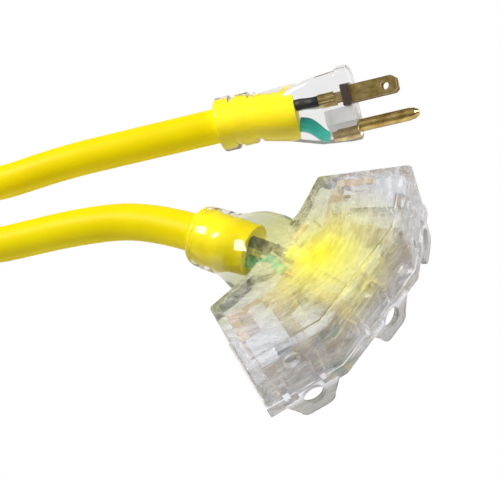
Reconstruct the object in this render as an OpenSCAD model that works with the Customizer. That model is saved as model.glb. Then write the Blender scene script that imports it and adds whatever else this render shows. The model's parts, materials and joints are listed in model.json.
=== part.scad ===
// Three-outlet extension cord: a clear fan-shaped tap with a power lamp,
// a heavy round cord and a clear moulded plug with a ground pin.
// Millimetres. The tap's middle outlet faces -Y, its cord leaves toward +Y, Z is up.

/* [Tap body] */
// thickness of the tap body
tap_h = 25.5; // [22:0.1:32]
// how far the mounting ears hang below the body
ear_drop = 9; // [6:0.5:14]
// width of the middle outlet face
face_mid_w = 40; // [36:0.5:46]
// width of each side outlet face
face_side_w = 27.06; // [26.5:0.01:30]
// angle of the side outlet faces from the middle one
face_side_a = 26.57; // [15:0.01:40]
// thickness of the outlet wall
front_wall = 2.5; // [2:0.1:4]
// hollow is this far inside the outline
wall = 2.6; // [2:0.1:4]
// corner radius of the outline, seen from above
corner_r = 3; // [1:0.5:5]

/* [Ears] */
// thickness of an ear
ear_t = 2; // [2:0.1:5]
// width of an ear where it meets the body
ear_base_w = 18.9; // [14:0.1:22]
// width of an ear at its lower edge
ear_end_w = 12.3; // [8:0.1:16]
// diameter of the hole in an ear
ear_hole_d = 7.4; // [4:0.1:8]

/* [Neck] */
// length of the neck from the body to the collar
neck_l = 31.5; // [20:0.5:45]
// sideways bend of the neck
neck_bend = 6; // [0:0.5:12]

/* [Cord] */
// outside diameter of the cord
cord_d = 13.2; // [8:0.1:14]
// diameter of one insulated wire in the tap
wire_d = 3.4; // [2:0.1:4]
// smallest centreline radius of the coil
coil_ri = 53.6; // [49:0.1:60]
// largest centreline radius of the coil
coil_ro = 80.2; // [70:0.1:90]
// layers of the coil
coil_layers = 6; // [4:2:8]
// width of each tie strap
tie_w = 25; // [10:1:40]
// thickness of each tie strap
tie_t = 1.6; // [1:0.1:3]

/* [Outlets and plug] */
// distance between the two blades' centres
blade_gap = 12.7; // [12.7:0.1:12.7]
// distance from the blades' line to the ground pin
ground_off = 11.9; // [11.9:0.1:11.9]
// width of a blade
blade_w = 6.35; // [6.35:0.05:8]
// thickness of a blade
blade_t = 1.5; // [1.4:0.05:1.6]
// diameter of the ground pin
pin_d = 4.75; // [4.7:0.05:4.8]
// length of the plug body
plug_l = 54; // [45:0.5:65]
// how far a blade stands out of the plug
blade_out = 16.3; // [15:0.1:18]

/* [Show] */
// which sub-part to draw

/* [Hidden] */

$fn = 48;
e = 0.01;
y0 = 32.09;              // local u = 0 sits here
zb = ear_drop;           // body's underside
zt = zb + tap_h;         // body's top
zm = (zb + zt) / 2;
th = face_side_a;
um = 67.6;               // middle face
vm = face_mid_w / 2;
uc = um - sin(th) * face_side_w / 2;   // centre of a side face
vc = vm + cos(th) * face_side_w / 2;
ub = um - sin(th) * face_side_w;       // outer corner of a side face
vb = vm + cos(th) * face_side_w;
outline = [[26, -29.6], [ub, -vb], [um, -vm], [um, vm], [ub, vb], [26, 29.6], [29.6, 14], [29.6, -14]];

// blades and ground hole, from the middle of the body
zbl = -5.7;
zgr = zbl + ground_off;
qb = blade_gap / 2;
jaw_in = qb + 1.15;      // inside face of the fixed jaw
jaw_out = jaw_in + 0.8;
leaf_out = qb - 1;       // face of the sprung leaf
leaf_in = leaf_out - 0.6;
depth = 22;              // back of the outlet cores
core_hw = 10.7;          // half width of a core
core_lo = -9.4;
core_hi = 8.55;
bus_t1 = 22.6;           // the buses lie between these depths behind the faces
bus_t2 = 27.2;

clear_c = [0.83, 0.83, 0.85, 0.45];
core_c = [0.78, 0.78, 0.8, 0.5];
brass_c = [0.8, 0.62, 0.28];
nickel_c = [0.72, 0.72, 0.7];
yellow_c = [0.96, 0.9, 0.06];
black_c = [0.08, 0.08, 0.09];
white_c = [0.92, 0.92, 0.9];
green_c = [0.1, 0.45, 0.38];
copper_c = [0.78, 0.45, 0.28];
lamp_c = [0.95, 0.92, 0.1, 0.8];
brown_c = [0.2, 0.12, 0.08];

// ---------- helpers ----------

function unit(a) = a / norm(a);
function smooth(t) = let (x = min(1, max(0, t))) x * x * (3 - 2 * x);

// polygon with rounded corners, n steps in each corner
function roundpoly(p, r, n = 5) = let (m = len(p)) [
  for (i = [0 : m - 1])
    let (a = p[(i + m - 1) % m], b = p[i], c = p[(i + 1) % m],
         d1 = unit(a - b), d2 = unit(c - b),
         half = acos(max(-1, min(1, d1 * d2))) / 2,
         rr = min(r, 0.45 * min(norm(a - b), norm(c - b)) * tan(half)),
         back = rr / tan(half), bis = unit(d1 + d2),
         cc = b + bis * rr / sin(half),
         p1 = b + d1 * back - cc, p2 = b + d2 * back - cc)
      for (k = [0 : n])
        let (m2 = unit(p1 * (1 - k / n) + p2 * (k / n))) cc + rr * m2];

// every edge of a counter-clockwise polygon moved inward by d
function inset(p, d) = let (m = len(p)) [
  for (i = [0 : m - 1])
    let (a = p[(i + m - 1) % m], b = p[i], c = p[(i + 1) % m],
         e1 = unit(b - a), e2 = unit(c - b),
         n1 = [-e1[1], e1[0]], n2 = [-e2[1], e2[0]],
         s = 1 + n1 * n2)
      b + (n1 + n2) * d / s];

function crp(a, b, c, d, t) = 0.5 * ((2 * b) + (c - a) * t + (2 * a - 5 * b + 4 * c - d) * t * t + (3 * b - a - 3 * c + d) * t * t * t);
// smooth line through hand-placed points, k steps between each two
function spline(p, k) = let (m = len(p)) concat(
  [for (i = [0 : m - 2]) let (a = i == 0 ? 2 * p[0] - p[1] : p[i - 1], b = p[i], c = p[i + 1], d = i == m - 2 ? 2 * p[m - 1] - p[m - 2] : p[i + 2])
    for (j = [0 : k - 1]) crp(a, b, c, d, j / k)], [p[m - 1]]);

function tangent(p, i) = let (m = len(p)) unit(p[min(m - 1, i + 1)] - p[max(0, i - 1)]);

// round tube along a line that never runs straight up
module sweep(p, r, s = 10) {
  m = len(p);
  pts = [for (i = [0 : m - 1])
    let (t = tangent(p, i), x = unit(cross(abs(t[2]) > 0.93 ? [0, 1, 0] : [0, 0, 1], t)), y = cross(t, x))
      for (k = [0 : s - 1]) p[i] + r * (cos(360 * k / s) * x + sin(360 * k / s) * y)];
  faces = concat(
    [[for (k = [0 : s - 1]) k]],
    [for (i = [0 : m - 2]) for (k = [0 : s - 1])
      let (a = i * s + k, b = i * s + (k + 1) % s, c = (i + 1) * s + (k + 1) % s, d = (i + 1) * s + k) for (f = [[a, d, c], [a, c, b]]) f],
    [[for (k = [s - 1 : -1 : 0]) (m - 1) * s + k]]);
  polyhedron(points = pts, faces = faces, convexity = 8);
}

// local (u forward, v sideways, z from the floor)
module tap_frame() { translate([0, y0, 0]) rotate([0, 0, -90]) children(); }

// one outlet's own frame: x outward, y along the face, z from the middle of the body; k = -1, 0, 1
module at_outlet(k) {
  tap_frame()
    if (k == 0) translate([um, 0, zm]) children();
    else translate([uc, k * vc, zm]) rotate([0, 0, k * th]) children();
}

module neck_frame() { translate([29, 0, zm]) rotate([0, 0, neck_bend]) rotate([0, -90, 0]) children(); }

module box2(a, b) { translate(a) cube(b - a); }

// ---------- tap body ----------

// ear outline, x along the face, y up
module ear_shape(q, far) {
  wb = ear_base_w / 2; we = ear_end_w / 2; top = min(q + wb, far);
  polygon(concat([[top, zb + 3], [q - wb, zb + 3], [q - wb, zb]],
    [for (a = [180 : 15 : 270]) [q - we + 3 + 3 * cos(a), 3 + 3 * sin(a)]],
    [for (a = [270 : 15 : 360]) [q + we - 3 + 3 * cos(a), 3 + 3 * sin(a)]],
    [[top, zb]]));
}

// the ears' sideways places along their faces: left, middle, right
ear_q = [1.5, 4.4, 4];
ear_far = [20, 20, 10.4];
ear_hole_z = zb - 1.3;

module face_place(k) {
  if (k == 0) translate([um, 0, 0]) children();
  else translate([uc, k * vc, 0]) rotate([0, 0, k * th]) children();
}

module neck_profile() {
  polygon([[0, -6], [9.8, -6], [11.1, -3], [12.1, 0], [12.5, 3], [12.6, 6], [12.6, 9.5],
    [12.2, 12], [11.6, 14.2], [10.9, 16.4], [10.6, 18], [10.5, 19.4], [10.5, 20.6], [10.7, 21.8], [10.9, 23.5], [10.7, 28.1],
    [10, 28.5], [10, 29.1], [10.5, 29.5], [10.4, 31], [9.8, neck_l], [0, neck_l]]);
}
// the neck flares sideways into the body
module neck_flare() {
  polygon([[0, -6], [9.4, -6], [11.2, -3], [12.1, 0], [12.7, 3], [12.75, 6], [12.5, 9.5],
    [11.9, 12], [11.1, 14.2], [10.3, 16.4], [9.8, 18], [9.3, 19.6], [9.1, 20.6], [0, 20.6]]);
}

// the top slopes down from here toward the neck
slope_u = 54;
slope_k = 0.125;
module over_slope(d) {
  translate([0, 60, 0]) rotate([90, 0, 0]) linear_extrude(120)
    polygon([[20, zt - (slope_u - 20) * slope_k - d], [slope_u, zt - d], [slope_u, zt + 5], [20, zt + 5]]);
}

module tap_hollow() {
  inner = inset(outline, wall);
  difference() {
    translate([0, 0, zm - 9.6]) linear_extrude(19.4)
      intersection() { polygon(inner); translate([33, -60]) square([40, 120]); }
    over_slope(0.8);
  }
  translate([0, 0, 0]) neck_frame() translate([0, 0, -5]) cylinder(d = cord_d, h = neck_l + 6);
}

module outlet_slots() {
  // line slot, neutral slot, ground hole
  box2([-front_wall - 0.2, -qb - 1, zbl - 3.5], [1, -qb + 1, zbl + 3.5]);
  box2([-front_wall - 0.2, qb - 1, zbl - 3.9], [1, qb + 1, zbl + 3.9]);
  translate([-front_wall - 0.2, 0, zgr]) rotate([0, 90, 0]) cylinder(d = 5.4, h = 4);
}

module tap_body() color(clear_c) {
  difference() {
    union() {
      tap_frame() {
        difference() {
          union() {
            translate([0, 0, zb]) linear_extrude(5) polygon(roundpoly(outline, corner_r));
            translate([0, 0, zb + 5 - e]) linear_extrude(tap_h - 5 + e) polygon(roundpoly(inset(outline, 0.4), corner_r));
          }
          over_slope(0);
          // the underside slopes up to a thin back edge
          translate([0, 60, 0]) rotate([90, 0, 0]) linear_extrude(120)
            polygon([[20, zm - 1.55], [20, zb - 5], [36, zb - 5], [36, zb]]);
        }
        neck_frame() {
          rotate_extrude() neck_profile();
          scale([1, 1.18, 1]) rotate_extrude() neck_flare();
        }
        intersection() {
          for (k = [-1 : 1]) face_place(k) translate([-ear_t, 0, 0]) rotate([90, 0, 90]) linear_extrude(ear_t) ear_shape(ear_q[k + 1], ear_far[k + 1]);
          linear_extrude(zb + 3) polygon(roundpoly(outline, corner_r));
        }
      }
    }
    tap_frame() tap_hollow();
    for (k = [-1 : 1]) {
      at_outlet(k) outlet_slots();
      tap_frame() face_place(k) {
        translate([-ear_t - 1, ear_q[k + 1], ear_hole_z]) rotate([0, 90, 0]) cylinder(d = ear_hole_d, h = ear_t + 2);
        box2([-11, ear_q[k + 1] - 4.4, zb - 1], [-ear_t + e, ear_q[k + 1] + 4.4, zb + 2.4]);
      }
    }
  }
}

// ---------- outlets ----------

module outlet_core(k) color(core_c) at_outlet(k) difference() {
  box2([-depth, -core_hw, core_lo], [-front_wall - 0.15, core_hw, core_hi]);
  // ways in
  box2([-5, -qb - 1, zbl - 3.2], [0, -qb + 1, zbl + 3.2]);
  box2([-5, qb - 1, zbl - 3.2], [0, qb + 1, zbl + 3.2]);
  box2([-5, -3.3, 2.2], [0, 3.3, core_hi + 1]);
  // contact pockets, open at the back
  for (s = [-1, 1]) {
    box2([-depth - 1, min(s * 3.2, s * 8.6), zbl - 3.2], [-4, max(s * 3.2, s * 8.6), zbl + 4]);
  }
  box2([-depth - 1, -3.3, 2.2], [-4, 3.3, core_hi + 1]);
}

// a strip behind the outlets, following their angle; t is the depth behind the faces, w how far it runs along a side face
function bus_pts(t, w) = let (c = t * tan(th / 2)) [
  [uc - t * cos(th) - w * sin(th), -(vc - t * sin(th) + w * cos(th))],
  [um - t, -(vm - c)], [um - t, vm - c],
  [uc - t * cos(th) - w * sin(th), vc - t * sin(th) + w * cos(th)]];
module bus_strip(w) {
  a = bus_pts(bus_t1, w); b = bus_pts(bus_t2, w);
  polygon([a[0], a[1], a[2], a[3], b[3], b[2], b[1], b[0]]);
}

// fixed outer jaw of a blade contact; s = -1 line, 1 neutral
module fixed_jaw(s, tail_lo, tail_hi) {
  box2([-19, min(s * jaw_in, s * jaw_out), zbl - 2.8], [-5, max(s * jaw_in, s * jaw_out), zbl + 2.8]);
  box2([-19, min(s * (leaf_in - 0.2), s * jaw_out), zbl - 2.8], [-18.4, max(s * (leaf_in - 0.2), s * jaw_out), zbl + 2.8]);
  // web over the leaf
  box2([-19, min(s * 4, s * jaw_out), zbl + 3.2], [-12, max(s * 4, s * jaw_out), zbl + 3.8]);
  box2([-19, min(s * jaw_in, s * jaw_out), zbl + 2.7], [-12, max(s * jaw_in, s * jaw_out), zbl + 3.8]);
  box2([-25.5, min(s * jaw_in, s * jaw_out), tail_lo], [-18.6, max(s * jaw_in, s * jaw_out), tail_hi]);
}

module line_bus() color(brass_c) {
  tap_frame() translate([0, 0, zm - 8.8]) linear_extrude(0.8) bus_strip(8);
  for (k = [-1 : 1]) at_outlet(k) fixed_jaw(-1, -8.5, -6.6);
  for (k = [-1 : 1]) at_outlet(k) box2([-25.5, -jaw_out, -8.8], [-23, -jaw_in, -6.6]);
}

module neutral_bus() color(brass_c) {
  tap_frame() translate([0, 0, zm - 4.4]) linear_extrude(0.8) bus_strip(8);
  for (k = [-1 : 1]) at_outlet(k) fixed_jaw(1, -4.4, -2.9);
}

// side of the tab on each ground clip: left, middle, right
tab_s = [-1, 1, 1];

module ground_bus() color(brass_c) {
  tap_frame() translate([0, 0, zm + 2.6]) linear_extrude(0.8) bus_strip(8);
  // risers from the side clips' tabs
  for (k = [-1, 1]) at_outlet(k) {
    box2([-24.8, min(k * 7, k * 9.6), 8.7], [-12.4, max(k * 7, k * 9.6), 9.5]);
    box2([-24.8, min(k * 7, k * 9.6), 3.3], [-24, max(k * 7, k * 9.6), 9.5]);
  }
}

module ground_clip(k) color(nickel_c) at_outlet(k) {
  s = tab_s[k + 1];
  box2([-19, -3, 8.7], [-5, 3, 9.5]);
  box2([-12.2, min(s * 2.6, s * 8.6), 8.7], [-2.9, max(s * 2.6, s * 8.6), 9.5]);
  box2([-19, -2.4, 3.4], [-18.4, 2.4, 9.5]);
  box2([-25, -2.4, 3.4], [-18.4, 2.4, 4.0]);
}

// sprung leaf beside a blade
module blade_leaf(k, s) color(brass_c) at_outlet(k) {
  box2([-17.6, min(s * leaf_in, s * leaf_out), zbl - 2.8], [-7, max(s * leaf_in, s * leaf_out), zbl + 2.8]);
  translate([-7, s * (leaf_in + leaf_out) / 2, zbl - 2.8]) cylinder(r = 0.55, h = 5.6, $fn = 24);
  translate([-17.6, s * (leaf_in + leaf_out) / 2, zbl - 2.8]) cylinder(r = 0.4, h = 5.6, $fn = 24);
}

// sprung leaf under the ground pin
module ground_leaf(k) color(nickel_c) at_outlet(k) {
  box2([-17.6, -2.4, zgr - 2.7], [-7, 2.4, zgr - 2.1]);
  translate([-7, 2.4, zgr - 2.4]) rotate([90, 0, 0]) cylinder(r = 0.5, h = 4.8, $fn = 24);
  translate([-17.6, 2.4, zgr - 2.4]) rotate([90, 0, 0]) cylinder(r = 0.4, h = 4.8, $fn = 24);
}

// ---------- lamp and wiring in the tap ----------

module tap_line(p, r, k = 4, s = 8) { tap_frame() translate([0, 0, zm]) sweep(spline(p, k), r, s); }

module lamp() color(lamp_c) tap_frame() translate([37.2, 0, zm + 6.7]) rotate([0, 90, 0]) {
  cylinder(r = 2.4, h = 5.6);
  translate([0, 0, 5.6]) sphere(r = 2.4);
}

module lamp_leads() color(nickel_c) {
  tap_line([[37.1, -0.9, 6.7], [35.6, -1.1, 6.1], [35, -1.5, 3], [35, -1.6, -2], [35.6, -2, -5.6], [38, -3, -7.3], [42, -3.4, -7.6]], 0.4, 3, 8);
  tap_line([[37.1, 0.9, 6.7], [36.1, 1.6, 6.6], [35.5, 3, 6.2], [35.4, 4.6, 6]], 0.4, 3, 8);
  tap_line([[35.4, 11.3, 6], [35.5, 13, 5.6], [36.2, 14.4, 3], [37.4, 14.8, -0.5], [39.4, 14.6, -2.8], [42, 14.2, -3.2]], 0.4, 3, 8);
}

module lamp_resistor() color([0.82, 0.7, 0.5]) tap_frame() translate([35.4, 4.7, zm + 6]) rotate([-90, 0, 0]) {
  cylinder(r = 1.2, h = 6.5);
  cylinder(r = 1.4, h = 1.6);
  translate([0, 0, 4.9]) cylinder(r = 1.4, h = 1.6);
}

wire_r = wire_d / 2;
module tap_black_wire() color(black_c) tap_line([[19.7, -0.5, 3.1], [22.5, -0.2, 3.1], [26, 0.2, 3], [30, 0.5, 2.6], [33.8, 0.3, 0.9], [36.4, 1.1, -4.2], [39.8, 2, -7]], wire_r, 3, 10);
module tap_white_wire() color(white_c) tap_line([[19.7, 1.4, -2.1], [26, 2.1, -2.1], [30.8, 2.8, -2.2], [33.4, 4, -2.4], [36.3, 8.1, -2.6], [39.8, 11.2, -2.6]], wire_r, 3, 10);
module tap_green_wire() color(green_c) tap_line([[19.7, -3.8, -1.2], [26, -3.2, -1.2], [31, -2.9, -0.6], [33.4, -3.4, 0.3], [36.4, -5.4, 3], [39.8, -6.5, 4.4]], wire_r, 3, 10);

// bare ends of the three wires, soldered on the buses
module tap_copper_ends() color(copper_c) tap_frame() translate([0, 0, zm])
  for (p = [[2, -7], [11.4, -2.6], [-6.5, 4.4]])
    translate([40.6, p[0], p[1]]) rotate([0, 90, 0]) cylinder(r = 1, h = 4);

module tap_jacket_end() color(yellow_c) tap_frame() neck_frame() translate([0, 0, 10]) cylinder(d = cord_d, h = neck_l - 10);

// ---------- plug ----------

plug_at = [43, 71, 15.5];
plug_turn = [-45, 0, -50.5];
module plug_frame() { translate(plug_at) rotate(plug_turn) children(); }
// x along the plug, polygon x to y, polygon y to z
module across(x, t) { translate([x, 0, 0]) rotate([90, 0, 90]) linear_extrude(t) children(); }

// outline of the plug: round below, flat above
module plug_shape(w, top, low) {
  r = w / 2;
  polygon(concat(
    [for (a = [180 : 12 : 360]) [(r - 1) * cos(a), low + r - 1 + (r - 1) * sin(a)]],
    [for (a = [0 : 30 : 90]) [r - 3 + 3 * cos(a), top - 3 + 3 * sin(a)]],
    [for (a = [90 : 30 : 180]) [-r + 3 + 3 * cos(a), top - 3 + 3 * sin(a)]]));
}

// the jacket inside the plug dips toward the middle of the body
function jacket_z(x) = -2.4 * smooth((x - 8) / 20);
module jacket_line(x1, x2) { sweep([for (i = [0 : 12]) let (x = x1 + (x2 - x1) * i / 12) [x, 0, jacket_z(x)]], cord_d / 2, 24); }

module plug_body() color(clear_c) plug_frame() difference() {
  union() {
    rotate([0, 90, 0]) rotate_extrude() polygon([[0, 2.8], [9.8, 2.8], [10.2, 3.4], [10.2, 8.4], [8.7, 8.8], [8.6, 10],
      [9.7, 10.5], [9.7, 15.8], [8.7, 16.2], [8.5, 17.5], [9.1, 17.9], [8.9, 19], [0, 19]]);
    hull() {
      translate([18, 0, -0.6]) rotate([0, 90, 0]) cylinder(r = 9, h = 0.5);
      translate([28, 0, -1.6]) rotate([0, 90, 0]) cylinder(r = 10.4, h = 0.5);
    }
    hull() {
      translate([28, 0, -1.6]) rotate([0, 90, 0]) cylinder(r = 10.4, h = 0.5);
      across(39, 0.5) plug_shape(22.6, 8.5, -15.6);
    }
    hull() {
      across(39, 0.5) plug_shape(22.6, 8.5, -15.6);
      across(plug_l - 4.5, 0.5) plug_shape(25, 9.2, -17);
    }
    across(plug_l - 4.4, 4.4) plug_shape(25, 9.6, -17);
    across(plug_l - 4, 4) plug_shape(14, 10.8, 0);
  }
  jacket_line(-1, 36);
  // room for the crimps
  box2([34.4, -8.8, -5.5], [46, 8.8, 4.4]);
  translate([34.4, 0, -5]) rotate([0, 90, 0]) cylinder(r = 7.2, h = 5);
  translate([39, 0, -5.5]) rotate([0, 90, 0]) cylinder(r = 8.4, h = 7);
  box2([45.9, -9.2, -4.1], [50.6, 9.2, 4.2]);
  // seats of the two inserts
  box2([45.9, -8, -9.3], [53, 8, -4.1]);
  box2([50.5, -9.6, -3.9], [53, 9.6, 3.9]);
  for (s = [-1, 1]) box2([51, s * qb - blade_t / 2, -blade_w / 2], [plug_l + 1, s * qb + blade_t / 2, blade_w / 2]);
  translate([45, 0, -ground_off]) rotate([0, 90, 0]) cylinder(r = 2.1, h = 12);
}

module plug_insert() color(core_c) plug_frame() difference() {
  union() {
    box2([46, -8, -9.3], [53, 8, -4.1]);
    box2([43, -6.8, -9.2], [46.1, 6.8, -4.1]);
  }
  translate([45, 0, -ground_off]) rotate([0, 90, 0]) cylinder(r = 2.1, h = 12);
}

module plug_blade_carrier() color(brown_c) plug_frame() difference() {
  box2([50.6, -9.5, -3.8], [53, 9.5, 3.8]);
  for (s = [-1, 1]) box2([45, s * qb - blade_t / 2, -blade_w / 2], [53, s * qb + blade_t / 2, blade_w / 2]);
}

// one blade with its crimp barrel; w is its width
module blade(s) color(brass_c) plug_frame() {
  x2 = plug_l + blade_out; w2 = blade_w / 2;
  difference() {
    translate([0, s * qb + blade_t / 2, 0]) rotate([90, 0, 0]) linear_extrude(blade_t)
      polygon([[47, -1.6], [50.4, -1.6], [50.6, -w2], [x2 - 1.3, -w2], [x2, -w2 + 1.1], [x2, w2 - 1.1], [x2 - 1.3, w2], [50.6, w2], [50.4, 1.6], [47, 1.6]]);
    translate([x2 - 4.2, s * qb - 3, 0]) rotate([-90, 0, 0]) cylinder(d = 3, h = 6);
  }
  translate([42, s * qb, 0]) rotate([0, 90, 0]) cylinder(d = 4.6, h = 6);
}
module line_blade() blade(-1);
module neutral_blade() blade(1);

module ground_pin() color(brass_c) plug_frame() translate([0, 0, -ground_off]) rotate([0, 90, 0]) rotate_extrude()
  polygon([[0, 43.9], [1.8, 43.9], [1.8, 46], [2.1, 46], [2.1, plug_l], [pin_d / 2, plug_l], [pin_d / 2, 72], [2, 74.2], [1.2, 75.6], [0, 76]]);

module plug_line(p, r) { plug_frame() sweep(spline(p, 3), r, 10); }
plug_wire_r = 2;
module plug_black_wire() color(black_c) plug_line([[33.1, -2.8, 0.2], [35.5, -3.6, 0.4], [38, -5.2, 0.2], [40, -6.2, 0], [41.9, -6.35, 0]], plug_wire_r);
module plug_white_wire() color(white_c) plug_line([[33.1, 2.8, 0.2], [35.5, 3.6, 0.4], [38, 5.2, 0.2], [40, 6.2, 0], [41.9, 6.35, 0]], plug_wire_r);
module plug_green_wire() color(green_c) plug_line([[33.1, 0, -5.6], [36, 0, -6.6], [38.6, 0, -8.4], [40.6, 0, -10.4], [42.4, 0, -11.7]], plug_wire_r);
module plug_jacket_end() color(yellow_c) plug_frame() jacket_line(0, 32.4);

// ---------- cord ----------

coil_at = [15, 309];
coil_z = tie_t + cord_d / 2;
layer_h = 13.3;
coil_top = coil_z + (coil_layers - 1) * layer_h;

function arc(c, r, a1, a2, k) = [for (i = [0 : k]) let (a = a1 + (a2 - a1) * i / k) [c[0] + r * cos(a), c[1] + r * sin(a)]];

// from the tap: straight out, sagging, then up to the coil's top layer
tap_way = spline([[-3.3, 34.5, 21.75], [-3.9, 40.4, 21.7], [-5.6, 51, 21.6], [-9.5, 65, 21.2], [-15.6, 77.3, 20.2], [-22.5, 89.7, 18.4], [-30, 102.3, 16], [-37.4, 114.2, 13.9]], 2);
tap_arc = arc([47.4, 167.2], 100, 212, 185.05, 6);
tap_far = [for (i = [1 : 13]) [-52.2 - 12.7 * i / 15, 158.4 + 143.5 * i / 15]];
function tap_z(s) = 13.9 - 1.4 * smooth(s / 30) + (coil_top - 12.5) * smooth((s - 12) / 134);
tap_run = concat(tap_way,
  [for (i = [1 : 6]) [tap_arc[i][0], tap_arc[i][1], tap_z(i * 7.84)]],
  [for (i = [0 : 12]) [tap_far[i][0], tap_far[i][1], tap_z(47 + (i + 1) * 9.6)]]);

// from the plug: straight back, down to the floor, then round into the coil's lowest layer
function plug_z(s) = 15.5 - 8.9 * smooth((s - 50) / 90) + (coil_z - 6.6) * smooth((s - 140) / 66);
plug_way = [for (i = [0 : 8]) [43 - 6.36 * i, 71 + 7.72 * i, plug_z(10 * i)]];
plug_arc = arc([38.4, 170.9], 60, 219.5, 108, 10);
plug_run = concat(plug_way, [for (i = [1 : 10]) [plug_arc[i][0], plug_arc[i][1], plug_z(80 + 11.7 * i)]]);

module coil_ring(g = 0) {
  translate([coil_at[0], coil_at[1], 0]) rotate_extrude($fn = 96)
    translate([coil_ri - cord_d / 2 - g, tie_t - g]) square([coil_ro - coil_ri + cord_d + 2 * g, coil_top - coil_z + cord_d + 2 * g]);
}

module cord_from_tap() color(yellow_c) difference() { sweep(tap_run, cord_d / 2, 12); coil_ring(); }
module cord_to_plug() color(yellow_c) difference() { sweep(plug_run, cord_d / 2, 12); coil_ring(); }
module cord_coil() color(yellow_c) coil_ring();

module coil_tie(a) color(black_c) translate([coil_at[0], coil_at[1], 0]) rotate([0, 0, a]) difference() {
  w = tie_w / ((coil_ri + coil_ro) / 2) * 180 / PI;
  r1 = coil_ri - cord_d / 2; r2 = coil_ro + cord_d / 2; h = coil_top - coil_z + cord_d;
  rotate_extrude(angle = w, $fn = 96) translate([r1 - tie_t, 0]) square([r2 - r1 + 2 * tie_t, h + 2 * tie_t]);
  rotate([0, 0, -1]) rotate_extrude(angle = w + 2, $fn = 96) translate([r1, tie_t]) square([r2 - r1, h]);
}
module coil_tie_a() coil_tie(46);
module coil_tie_b() coil_tie(226);

// ---------- draw ----------

tap_body();
outlet_core_left();
outlet_core_middle();
outlet_core_right();
line_bus();
neutral_bus();
ground_bus();
ground_clip_left();
ground_clip_middle();
ground_clip_right();
leaf_line_left();
leaf_line_middle();
leaf_line_right();
leaf_neutral_left();
leaf_neutral_middle();
leaf_neutral_right();
leaf_ground_left();
leaf_ground_middle();
leaf_ground_right();
lamp();
lamp_leads();
lamp_resistor();
tap_black_wire();
tap_white_wire();
tap_green_wire();
tap_copper_ends();
tap_jacket_end();
plug_body();
plug_insert();
plug_blade_carrier();
line_blade();
neutral_blade();
ground_pin();
plug_black_wire();
plug_white_wire();
plug_green_wire();
plug_jacket_end();
cord_from_tap();
cord_coil();
cord_to_plug();
coil_tie_a();
coil_tie_b();

module outlet_core_left() outlet_core(-1);
module outlet_core_middle() outlet_core(0);
module outlet_core_right() outlet_core(1);
module ground_clip_left() ground_clip(-1);
module ground_clip_middle() ground_clip(0);
module ground_clip_right() ground_clip(1);
module leaf_line_left() blade_leaf(-1, -1);
module leaf_line_middle() blade_leaf(0, -1);
module leaf_line_right() blade_leaf(1, -1);
module leaf_neutral_left() blade_leaf(-1, 1);
module leaf_neutral_middle() blade_leaf(0, 1);
module leaf_neutral_right() blade_leaf(1, 1);
module leaf_ground_left() ground_leaf(-1);
module leaf_ground_middle() ground_leaf(0);
module leaf_ground_right() ground_leaf(1);
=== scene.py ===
import json
import math

import bmesh
import bpy
from mathutils import Matrix, Vector


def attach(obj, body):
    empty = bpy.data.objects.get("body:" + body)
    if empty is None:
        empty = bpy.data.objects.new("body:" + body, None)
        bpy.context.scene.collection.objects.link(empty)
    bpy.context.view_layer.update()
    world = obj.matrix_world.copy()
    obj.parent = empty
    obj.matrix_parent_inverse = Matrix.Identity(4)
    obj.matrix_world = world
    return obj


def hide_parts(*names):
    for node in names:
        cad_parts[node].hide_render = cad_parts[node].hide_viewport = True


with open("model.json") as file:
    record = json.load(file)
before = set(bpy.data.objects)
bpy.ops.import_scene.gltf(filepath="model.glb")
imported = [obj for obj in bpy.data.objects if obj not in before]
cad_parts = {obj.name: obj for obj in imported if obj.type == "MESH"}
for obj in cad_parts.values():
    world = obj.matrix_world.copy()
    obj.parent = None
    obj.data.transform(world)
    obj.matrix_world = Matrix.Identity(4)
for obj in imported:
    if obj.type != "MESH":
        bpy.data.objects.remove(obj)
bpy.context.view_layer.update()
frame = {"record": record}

scene = bpy.context.scene

# ---------------------------------------------------------------- camera
az, el, roll = math.radians(-32.031), math.radians(46.504), math.radians(-25.723)
dist, f_px, tx, ty = 380.0, 1183.948, -10.707, 5.202
back = Vector((math.sin(az) * math.cos(el), -math.cos(az) * math.cos(el), math.sin(el)))
right = Vector((math.cos(az), math.sin(az), 0.0))
up = back.cross(right)
R = math.cos(roll) * right + math.sin(roll) * up
U = -math.sin(roll) * right + math.cos(roll) * up
C = (Vector((0, 0, 25.0)) + back * dist + R * tx + U * ty) / 1000.0
cam_data = bpy.data.cameras.new("camera")
cam_data.sensor_width = 36.0
cam_data.lens = f_px * 36.0 / 500.0
cam_data.clip_start = 0.01
cam_data.clip_end = 20.0
cam = bpy.data.objects.new("camera", cam_data)
scene.collection.objects.link(cam)
m = Matrix((R, U, back)).transposed().to_4x4()
m.translation = C
cam.matrix_world = m
scene.camera = cam


# ---------------------------------------------------------------- helpers
def smooth(t):
    t = min(1.0, max(0.0, t))
    return t * t * (3 - 2 * t)


def spline(p, k):
    out = []
    n = len(p)
    p = [Vector(q) for q in p]
    for i in range(n - 1):
        b, c = p[i], p[i + 1]
        a = p[i - 1] if i else 2 * b - c
        d = p[i + 2] if i < n - 2 else 2 * c - b
        for j in range(k):
            t = j / k
            out.append(0.5 * (2 * b + (c - a) * t + (2 * a - 5 * b + 4 * c - d) * t * t + (3 * b - a - 3 * c + d) * t ** 3))
    out.append(p[-1])
    return out


def resample(p, step):
    p = [Vector(q) for q in p]
    s = [0.0]
    for a, b in zip(p, p[1:]):
        s.append(s[-1] + (b - a).length)
    n = max(2, round(s[-1] / step))
    out, i = [], 0
    for k in range(n + 1):
        t = s[-1] * k / n
        while i < len(p) - 2 and s[i + 1] < t:
            i += 1
        w = (t - s[i]) / max(1e-9, s[i + 1] - s[i])
        out.append(p[i].lerp(p[i + 1], min(1.0, w)))
    return out


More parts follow.
